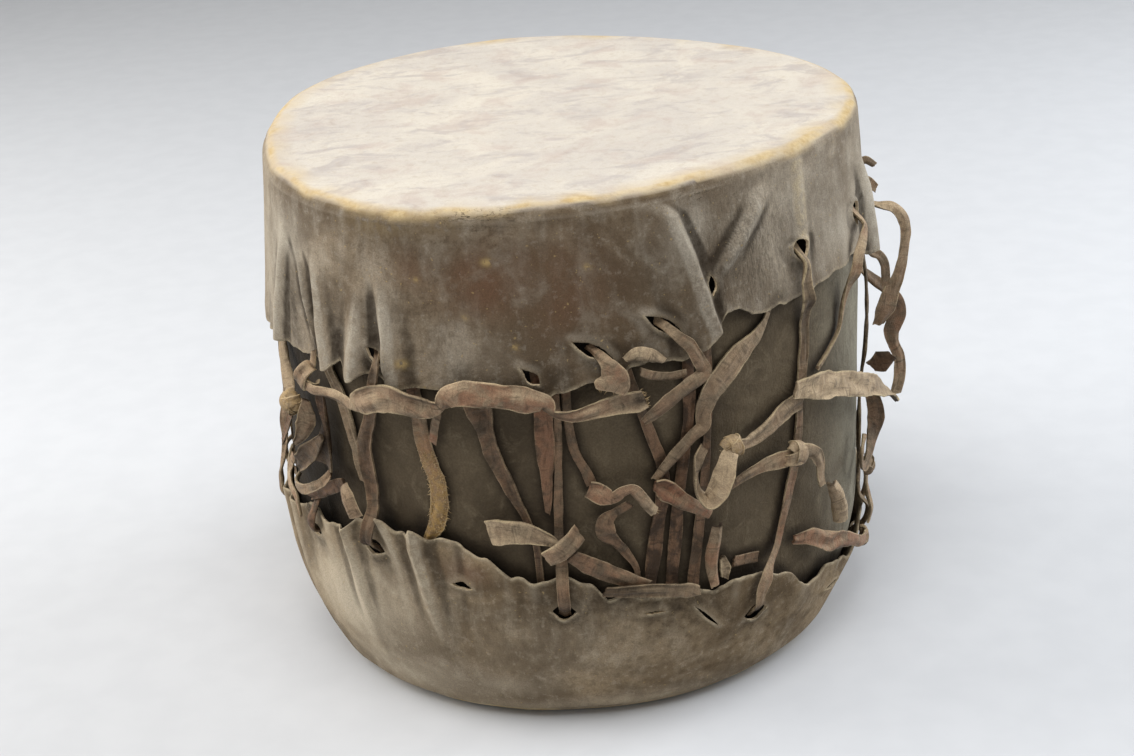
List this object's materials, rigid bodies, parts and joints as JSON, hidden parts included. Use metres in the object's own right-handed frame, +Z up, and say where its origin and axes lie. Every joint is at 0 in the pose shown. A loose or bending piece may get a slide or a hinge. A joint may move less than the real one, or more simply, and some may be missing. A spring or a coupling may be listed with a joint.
{
  "type": "ceremonial drum",
  "caption": "Hollow wooden drum with a rawhide head stretched over each end, the ragged skirts laced together by flat rawhide straps with knots, loops and loose ends.",
  "frame": {"origin": "centre of the drum's underside, on the lower head", "axes": "+Z up along the drum's axis, -Y to the front that carries the knotted lacing, +X to the drum's right as seen from the front"},
  "size_m": [0.4931, 0.4663, 0.393],
  "materials": {
    "shell": "dull weathered wood",
    "upper_hide": "dusty rawhide, pale on the head",
    "lower_hide": "dusty rawhide",
    "straps": "dry worn rawhide"
  },
  "bodies": {
    "root": {"shell": "shell", "upper_hide": "upper_hide", "lower_hide": "lower_hide", "left_strand_1": "straps", "left_strand_2": "straps", "left_flick": "straps", "left_leaf_1": "straps", "left_bow": "straps", "left_leaf_2": "straps", "left_strand_3": "straps", "left_strand_4": "straps", "left_curl": "straps", "left_strand_5": "straps", "left_stub": "straps", "left_tail": "straps", "left_flag": "straps", "upper_lashing": "straps", "front_strand_1": "straps", "front_strand_1b": "straps", "front_strand_2": "straps", "front_tail": "straps", "front_strand_3": "straps", "front_strand_4": "straps", "front_strand_5": "straps", "front_strand_6": "straps", "front_strand_7": "straps", "gather_strand": "straps", "gather_leaf": "straps", "gather_bar": "straps", "gather_curl": "straps", "long_diagonal": "straps", "lower_lashing": "straps", "lashing_tab": "straps", "hanging_strap": "straps", "knot_leaf": "straps", "knot_wrap": "straps", "knot_tail": "straps", "edge_strap": "straps", "stub_strap": "straps", "stub_fin": "straps", "short_strap": "straps", "cross_strap": "straps", "lower_cross": "straps", "cone_leaf": "straps", "right_strand_1": "straps", "right_strand_2": "straps", "loose_leaf": "straps", "right_strand_3": "straps", "outer_loop": "straps", "outer_twist": "straps", "outer_leaf": "straps", "outer_tip": "straps", "outer_nub_1": "straps", "outer_nub_2": "straps", "right_curl": "straps", "right_strand_4": "straps", "right_strand_5": "straps", "right_band": "straps", "back_lacing": "straps", "back_lashing": "straps"}
  },
  "joints": []
}
